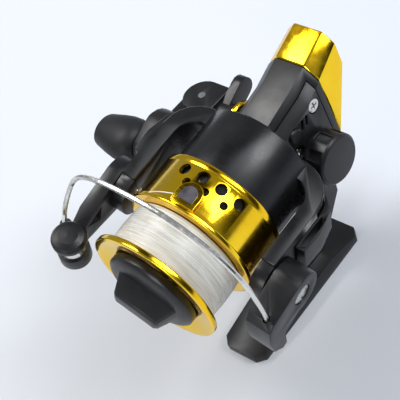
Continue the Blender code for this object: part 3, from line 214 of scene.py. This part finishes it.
def felt(name):
    finish = Finish(name, Roughness=0.95)
    fibres = finish.noise(pressedWool["fibres"], pressedWool["fibreDetail"])
    return finish.feed(Base_Color=finish.clouded(fibres, pressedWool["dark"], pressedWool["light"]),
                       Normal=finish.bump(fibres, pressedWool["depth"]))


# smoky plastic of the clip's insert
smoky = {"clouds": 260.0, "dark": (0.05, 0.045, 0.055), "light": (0.1, 0.09, 0.105), "rough": (0.2, 0.35)}


def smoked(name):
    finish = Finish(name, IOR=1.4)
    clouds = finish.noise(smoky["clouds"])
    return finish.feed(Base_Color=finish.clouded(clouds, smoky["dark"], smoky["light"]),
                       Roughness=finish.between(clouds, *smoky["rough"]))


blackPlastic = black("blackPlastic")
satinBlack = black("satinBlack", 0.007, (0.24, 0.36), 0.002)
softGrip = black("softGrip", 0.007, (0.42, 0.6), 0.008)
goldTurned = gold("goldTurned")
goldFaceted = gold("goldFaceted", (3, 3, 3), (0.12, 0.22))
steel = metal("steel", (0.72, 0.71, 0.68))
brass = metal("brass", (0.72, 0.5, 0.18), (0.25, 0.4))
zinc = metal("zinc", (0.45, 0.46, 0.48), (0.35, 0.55))
lineNylon = nylon("lineNylon")
oiledFelt = felt("oiledFelt")
smokedPlastic = smoked("smokedPlastic")
print("finishes made")

finishOf = {"black_plastic": blackPlastic, "gold_plate": goldTurned, "bright_steel": steel, "brass": brass,
            "zinc": zinc, "clear_line": lineNylon, "grey_clip": smokedPlastic, "felt": oiledFelt}
slotOf = {part["node"]: part["material_slot"] for part in frame["record"]["subparts"]}
bodyOf = {name: body for body, held in frame["record"]["behaviour"]["bodies"].items() for name in held}
for name, node in nodes.items():
    node.data.materials.clear()
    node.data.materials.append(finishOf[slotOf[name]])


def deselected():
    bpy.ops.object.select_all(action="DESELECT")


def onlySelect(made):
    deselected()
    made.select_set(True)
    bpy.context.view_layer.objects.active = made


def applied(made, kind, **settings):
    onlySelect(made)
    modifier = made.modifiers.new("work", kind)
    for key, value in settings.items():
        setattr(modifier, key, value)
    bpy.ops.object.modifier_apply(modifier=modifier.name)


def cut(made, cutter):
    applied(made, "BOOLEAN", operation="DIFFERENCE", object=cutter, solver="EXACT")
    bpy.data.objects.remove(cutter, do_unlink=True)


def smoothed(made, degrees):
    onlySelect(made)
    bpy.ops.object.shade_smooth_by_angle(angle=math.radians(degrees))


def placed(made, name, finish, body, replaced=(), smoothAngle=32):
    onlySelect(made)
    made.name = made.data.name = name
    bpy.ops.object.transform_apply(location=True, rotation=True, scale=True)
    smoothed(made, smoothAngle)
    made.data.materials.clear()
    made.data.materials.append(finish)
    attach(made, body)
    if replaced:
        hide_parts(*replaced)


def copied(name):
    # taken before anything replaces the node, because a replaced node is hidden
    onlySelect(nodes[name])
    bpy.ops.object.duplicate()
    made = bpy.context.object
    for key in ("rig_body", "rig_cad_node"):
        made.pop(key, None)
    made.parent = None
    return made


# lengths in mm, angles in degrees
edges = {"merge": 0.004, "flat": 0.6, "sharp": 30, "smooth": 40}


def bevelled(made, width, segments):
    applied(made, "BEVEL", width=width * mm, segments=segments, limit_method="ANGLE",
            angle_limit=math.radians(edges["sharp"]), harden_normals=False)


def softened(name, width, finish=None, segments=2):
    # a node's own shape with its edges broken, as a moulded or machined piece has them
    made = copied(name)
    bpy.ops.object.mode_set(mode="EDIT")
    bpy.ops.mesh.select_all(action="SELECT")
    bpy.ops.mesh.remove_doubles(threshold=edges["merge"] * mm)
    bpy.ops.mesh.dissolve_limited(angle_limit=math.radians(edges["flat"]))
    bpy.ops.object.mode_set(mode="OBJECT")
    bevelled(made, width, segments)
    slot = slotOf[name]
    placed(made, name + "_finished", finish or finishOf[slot], bodyOf[name], (name,), edges["smooth"])
    return made


def threadAlong(name, places, radius, sides):
    # a run of line as a round tube, all in mm
    drawing = bpy.data.curves.new(name, "CURVE")
    drawing.dimensions = "3D"
    drawing.bevel_depth = radius * mm
    drawing.bevel_resolution = sides
    drawing.use_fill_caps = True
    spline = drawing.splines.new("POLY")
    spline.points.add(len(places) - 1)
    for knot, place in zip(spline.points, places):
        knot.co = (*(Vector(place) * mm), 1)
    made = bpy.data.objects.new(name, drawing)
    bpy.context.scene.collection.objects.link(made)
    onlySelect(made)
    bpy.ops.object.convert(target="MESH")
    return bpy.context.object


# camera: fitted to the spool, skirt and foot; aim and distance in mm
camera = {"aim": (0, -10, 53), "toCamera": (0.596, -0.32, 0.736), "right": (0.732, 0.593, -0.335),
          "distance": 400, "lens": 131.4, "sensor": 36, "shift": (-0.03875, 0.028), "clip": (0.01, 20)}
back = Vector(camera["toCamera"]).normalized()
right = Vector(camera["right"])
right = (right - back * right.dot(back)).normalized()
bpy.ops.object.camera_add()
view = bpy.context.object
view.location = (Vector(camera["aim"]) + back * camera["distance"]) * mm
view.rotation_euler = Matrix((right, back.cross(right), back)).transposed().to_euler()
view.data.lens, view.data.sensor_width = camera["lens"], camera["sensor"]
view.data.shift_x, view.data.shift_y = camera["shift"]
view.data.clip_start, view.data.clip_end = camera["clip"]
bpy.context.scene.camera = view

# surface: pale paper, a little brighter and bluer toward the back, which is painted light; size and slope in
# metres, below in mm
paper = {"size": 6, "below": 0.05, "slope": (-0.06, 0.07), "near": (0.64, 0.66, 0.70),
         "far": (0.66, 0.69, 0.75), "mottle": 40.0, "mottleShare": 0.12, "rough": 0.75}
deselected()
bpy.ops.mesh.primitive_plane_add(size=paper["size"], location=(0, 0, -paper["below"] * mm))
floor = bpy.context.object
floor.name = "pale_floor"
palePaper = Finish("palePaper", Roughness=paper["rough"])
# painted light: the floor's colour runs from near to far along its depth, brighter and bluer at the back
across = palePaper.node("ShaderNodeSeparateXYZ", {}, {"Vector": palePaper.place}, "Y")
across = palePaper.spread(across, *paper["slope"])
mottle = palePaper.noise(paper["mottle"]) * paper["mottleShare"] - paper["mottleShare"] / 2
floor.data.materials.append(palePaper.feed(
    Base_Color=palePaper.tint(across + mottle, paper["near"], paper["far"])))

# softboxes: place and size in mm, power in watts
lamps = [{"place": (-700, -140, 1250), "size": 650, "power": 14.5, "colour": (1, 0.99, 0.97)},
         {"place": (760, 560, 980), "size": 560, "power": 7.5, "colour": (0.96, 0.98, 1)},
         {"place": (60, -420, 200), "size": 160, "power": 0.5, "colour": (1, 1, 1)}]
lampAim = Vector((0, 0, 50)) * mm
for index, softbox in enumerate(lamps):
    bpy.ops.object.light_add(type="AREA", location=Vector(softbox["place"]) * mm)
    lamp = bpy.context.object
    lamp.name = f"softbox_{index}"
    lamp.data.size = softbox["size"] * mm
    lamp.data.energy, lamp.data.color = softbox["power"], softbox["colour"]
    lamp.rotation_euler = (lampAim - lamp.location).to_track_quat("-Z", "Y").to_euler()

# room by direction, for the gold to mirror: dark ceiling, bright window, dim far wall and a dark patch ahead
# of the spool; edge and core are the cosines at which a patch starts and is full
room = {"colour": (0.9, 0.94, 1.0, 1), "level": 0.32,
        "patches": [{"toward": (-0.115, 0.32, 0.94), "edge": 0.93, "core": 0.985, "level": 0.02},
                    {"toward": (0.45, 0.32, 0.83), "edge": 0.93, "core": 0.975, "level": 3.2},
                    {"toward": (0.95, 0.32, 0.08), "edge": 0.80, "core": 0.95, "level": 0.03},
                    {"toward": (0.2, -0.75, 0.63), "edge": 0.90, "core": 0.97, "level": 0.04}]}
world = bpy.data.worlds.new("studio")
world.use_nodes = True
air = Shading(world.node_tree)
direction = air.node("ShaderNodeTexCoord", output="Generated")
strength = room["level"]
for patch in room["patches"]:
    facing = air.node("ShaderNodeVectorMath", {"operation": "DOT_PRODUCT"},
                      {0: direction, 1: Vector(patch["toward"]).normalized()}, "Value")
    share = air.spread(facing, patch["edge"], patch["core"], interpolation_type="SMOOTHSTEP")
    strength = air.node("ShaderNodeMix", {}, {0: share, 2: strength, 3: patch["level"]})
background = air.tree.nodes["Background"]
background.inputs["Color"].default_value = room["colour"]
air.give(background.inputs["Strength"], strength)
bpy.context.scene.world = world
bpy.context.scene.view_settings.view_transform = "Standard"
print("camera and studio set")

# width of the broken edges in mm, and the finish where it isn't the slot's own
edgeWidths = {"body_housing": (0.35,), "side_cover": (0.3,), "rotor": (0.4, satinBlack),
              "bail_arm_cover": (0.3,), "roller_arm_cover": (0.3,), "bail_holder": (0.35,),
              "roller_arm": (0.25,), "drag_knob": (0.35,), "handle_hub": (0.3,), "crank_arm": (0.4,),
              "handle_screw_cap": (0.3,), "rear_cap": (0.3, goldFaceted), "handle_knob": (0.3, softGrip)}
for name, widthAndFinish in edgeWidths.items():
    softened(name, *widthAndFinish)
print("edges broken")

# spool: turned flange, groove and skirt, with the skirt's holes drilled. Profile points are (radius, along),
# along being 0 at the front and less towards the rear
spool = {"front": -38.0, "axisHeight": 53.0, "steps": 180, "merge": 0.003, "smooth": 35,
         "flange": 20.0, "rim": 1.8, "groove": 14.2, "lip": 1.4, "soft": 0.45, "softSteps": 5,
         "skirt": 19.3, "skirtLength": 14.2, "wall": 1.1, "cheek": 0.4,
         "tube": 9.7, "back": 9.8, "bore": 1.6, "well": 9.0, "wellDepth": 8.0,
         "face": [(9.0, -0.9), (14.4, -0.9), (14.9, -0.75), (17.3, -0.3), (17.9, -0.12), (18.4, 0)],
         "frontCheek": [(18.6, -0.02), (12.6, -0.8), (12.0, -1.4)],  # along from the rim's rear
         "rearCheek": [(12.0, 1.0), (12.6, 0.5), (18.6, 0)],  # along from the lip's front
         "lipFoot": [(0.15, 0.02), (0, -0.25)],  # over the skirt, from the lip's rear
         "skirtEdge": [(0, 2.2), (-0.1, 2.05), (-0.1, 1.85), (0, 1.7), (0, 0.4), (-0.15, 0.1), (-0.4, 0),
                       (-0.9, 0), (-1.1, 0.3)]}  # over the skirt, from its rear
drilled = {"middle": 23.0, "pitch": 18.4, "sides": (0, 180), "round": 48, "through": 6.0,
           "rows": ({"holes": 4, "radius": 1.75, "fromRear": 4.4},
                    {"holes": 3, "radius": 1.2, "fromRear": 7.6})}
lineRear = -spool["rim"] - spool["groove"]
lipRear = lineRear - spool["lip"]
skirtRear = lipRear - spool["skirtLength"]
skirt = spool["skirt"]


def spun(name, profile, steps):
    # a profile drawn by extruding one vertex, then spun shut round the spool's axis
    centre, axis = Vector((0, 0, spool["axisHeight"])), Vector((0, 1, 0))
    places = [(centre + Vector((0, spool["front"] - along, radius))) * mm for radius, along in profile]
    deselected()
    bpy.ops.mesh.primitive_plane_add(size=mm, location=(0, 0, 0))
    made = bpy.context.object
    bpy.ops.object.mode_set(mode="EDIT")
    bpy.ops.mesh.select_all(action="SELECT")
    bpy.ops.mesh.merge(type="CENTER")
    bpy.ops.transform.translate(value=places[0])
    for before, after in zip(places, places[1:]):
        bpy.ops.mesh.extrude_region_move(TRANSFORM_OT_translate={"value": after - before})
    bpy.ops.mesh.select_all(action="SELECT")
    bpy.ops.mesh.spin(steps=steps, angle=2 * math.pi, center=centre * mm, axis=axis)
    bpy.ops.mesh.select_all(action="SELECT")
    bpy.ops.mesh.remove_doubles(threshold=spool["merge"] * mm)
    bpy.ops.mesh.normals_make_consistent(inside=False)
    bpy.ops.object.mode_set(mode="OBJECT")
    made.name = name
    return made


def onSpool(degrees, radius, along):
    # a place round the spool's axis, 0 degrees on top and 90 on the cap's side
    turn = math.radians(degrees)
    across, up = radius * math.sin(turn), radius * math.cos(turn)
    return Vector((across, spool["front"] - along, spool["axisHeight"] + up))


def shifted(points, radius, along):
    return [(radius + over, along + further) for over, further in points]


def roundedRim(front, rear):
    # the flange's or the lip's rounded edge
    soft, steps = spool["soft"], spool["softSteps"]
    quarter = [math.pi / 2 * step / steps for step in range(steps + 1)]
    inner = spool["flange"] - soft
    return ([(inner + soft * math.sin(turn), front - soft + soft * math.cos(turn)) for turn in quarter]
            + [(inner + soft * math.cos(turn), rear + soft - soft * math.sin(turn)) for turn in quarter])


spoolProfile = (spool["face"] + roundedRim(0, -spool["rim"]) + shifted(spool["frontCheek"], 0, -spool["rim"])
                + shifted(spool["rearCheek"], 0, lineRear) + roundedRim(lineRear, lipRear)
                + shifted(spool["lipFoot"], skirt, lipRear) + shifted(spool["skirtEdge"], skirt, skirtRear)
                + [(skirt - spool["wall"], lipRear - spool["cheek"]),
                   (spool["tube"], lipRear - spool["cheek"]), (spool["tube"], -spool["back"]),
                   (spool["bore"], -spool["back"]),
                   (spool["bore"], -spool["wellDepth"]), (spool["well"], -spool["wellDepth"]),
                   spool["face"][0]])
spoolBody = spun("spoolBody", spoolProfile, spool["steps"])
cutters = []
for side in drilled["sides"]:
    for row in drilled["rows"]:
        for index in range(row["holes"]):
            degrees = drilled["middle"] + side + (index - (row["holes"] - 1) / 2) * drilled["pitch"]
            bpy.ops.mesh.primitive_cylinder_add(
                vertices=drilled["round"], radius=row["radius"] * mm, depth=drilled["through"] * mm,
                location=onSpool(degrees, skirt, skirtRear + row["fromRear"]) * mm,
                rotation=(0, math.radians(degrees), 0))
            cutters.append(bpy.context.object)
for cutter in cutters:
    cut(spoolBody, cutter)
placed(spoolBody, "spool_finished", goldTurned, "spool", ("spool",), spool["smooth"])

# line: a packed bed with fine windings over it; wander is (size, rate, phase) of each unevenness
line = {"front": -2.1, "rear": lineRear + 0.4, "floor": 12.1, "radius": 16.75, "crown": 0.35, "bedSteps": 24,
        "bedRound": 96, "loops": 58, "steps": 64, "thread": 0.125, "proud": 0.8, "overrun": 0.15,
        "sides": 1, "smooth": 60,
        "wander": ((0.05, 0.37, 0), (0.04, 1.13, 2))}
lineLength = line["rear"] - line["front"]


def bedRadius(share):
    return line["radius"] + line["crown"] * math.sin(math.pi * share)


bed = [(bedRadius(step / line["bedSteps"]), line["front"] + lineLength * step / line["bedSteps"])
       for step in range(line["bedSteps"] + 1)]
bed = [(line["floor"], line["front"])] + bed + [(line["floor"], line["rear"])]
placed(spun("lineBed", bed, line["bedRound"]), "line_bed", lineNylon, "spool", ("line_core",))
places = []
total = line["loops"] * line["steps"]
for step in range(total + 1):
    share = step / total
    angle = 2 * math.pi * step / line["steps"]
    wander = sum(size * math.sin(angle * rate + phase) for size, rate, phase in line["wander"])
    radius = bedRadius(share) + line["thread"] * line["proud"]
    along = line["front"] - line["overrun"] + (lineLength + 2 * line["overrun"]) * share + wander
    places.append((radius * math.cos(angle), spool["front"] - along,
                   spool["axisHeight"] + radius * math.sin(angle)))
winding = threadAlong("winding", places, line["thread"], line["sides"])
placed(winding, "line_winding_finished", lineNylon, "spool", ("line_winding",), line["smooth"])
print("spool and line made")

# line tail: over the lip and under the clip; places are (degrees, radius, along)
tail = {"steps": 14, "thread": 0.16, "sides": 2, "from": (-40, 17.0, -15.4),
        "lip": (-17, 20.15, -17.0), "to": (11, 20.35, -19.4)}
places = []
for first, last in ((tail["from"], tail["lip"]), (tail["lip"], tail["to"])):
    for step in range(tail["steps"] + 1):
        share = step / tail["steps"]
        places.append(onSpool(*(before + (after - before) * share for before, after in zip(first, last))))
tailBody = threadAlong("tail", places, tail["thread"], tail["sides"])
placed(tailBody, "line_tail", lineNylon, "spool", (), line["smooth"])

# clip: a gilt frame with a smoky insert standing in it
clip = {"turn": 16, "edge": 0.3, "insertShare": 0.62, "insertRise": 0.5, "insertEdge": 0.12, "segments": 3}
clipTurn = math.radians(clip["turn"])
insert = copied("line_clip")
softened("line_clip", clip["edge"], goldTurned, clip["segments"])
onlySelect(insert)
bpy.ops.object.origin_set(type="ORIGIN_GEOMETRY", center="BOUNDS")
insert.scale = (clip["insertShare"],) * 3
insert.location += Vector((math.sin(clipTurn), 0, math.cos(clipTurn))) * clip["insertRise"] * mm
bevelled(insert, clip["insertEdge"], clip["segments"])
placed(insert, "clip_insert", smokedPlastic, "spool", (), edges["smooth"])
print("clip and tail made")

# screws: a cross cut in each head; reach is the cross's length, out the way a head faces
screws = {"edge": 0.12, "slot": 0.55, "depth": 0.7, "headFace": 0.05, "smooth": 32, "armLine": 26,
          "bailReach": 3.0, "coverReach": 2.6}
armLine = math.radians(screws["armLine"])
bailSide = Vector((math.cos(armLine), 0, -math.sin(armLine)))
heads = {"bail_screw_right": (screws["bailReach"], bailSide),
         "bail_screw_left": (screws["bailReach"], -bailSide)}
for index in (1, 2, 3):
    heads[f"cover_screw_{index}"] = (screws["coverReach"], Vector((1, 0, 0)))
for name, (reach, out) in heads.items():
    made = softened(name, screws["edge"])
    heights = [out.dot(vertex.co) for vertex in made.data.vertices]
    face = [vertex.co for vertex, height in zip(made.data.vertices, heights)
            if height > max(heights) - screws["headFace"] * mm]
    middle = sum(face, Vector()) / len(face)
    turn = out.to_track_quat("Z", "Y").to_euler()
    for across, along in ((reach, screws["slot"]), (screws["slot"], reach)):
        deselected()
        bpy.ops.mesh.primitive_cube_add(size=1, location=middle, rotation=turn)
        cutter = bpy.context.object
        cutter.scale = (across * mm, along * mm, screws["depth"] * mm)
        cut(made, cutter)
    smoothed(made, screws["smooth"])
print("screws cut")
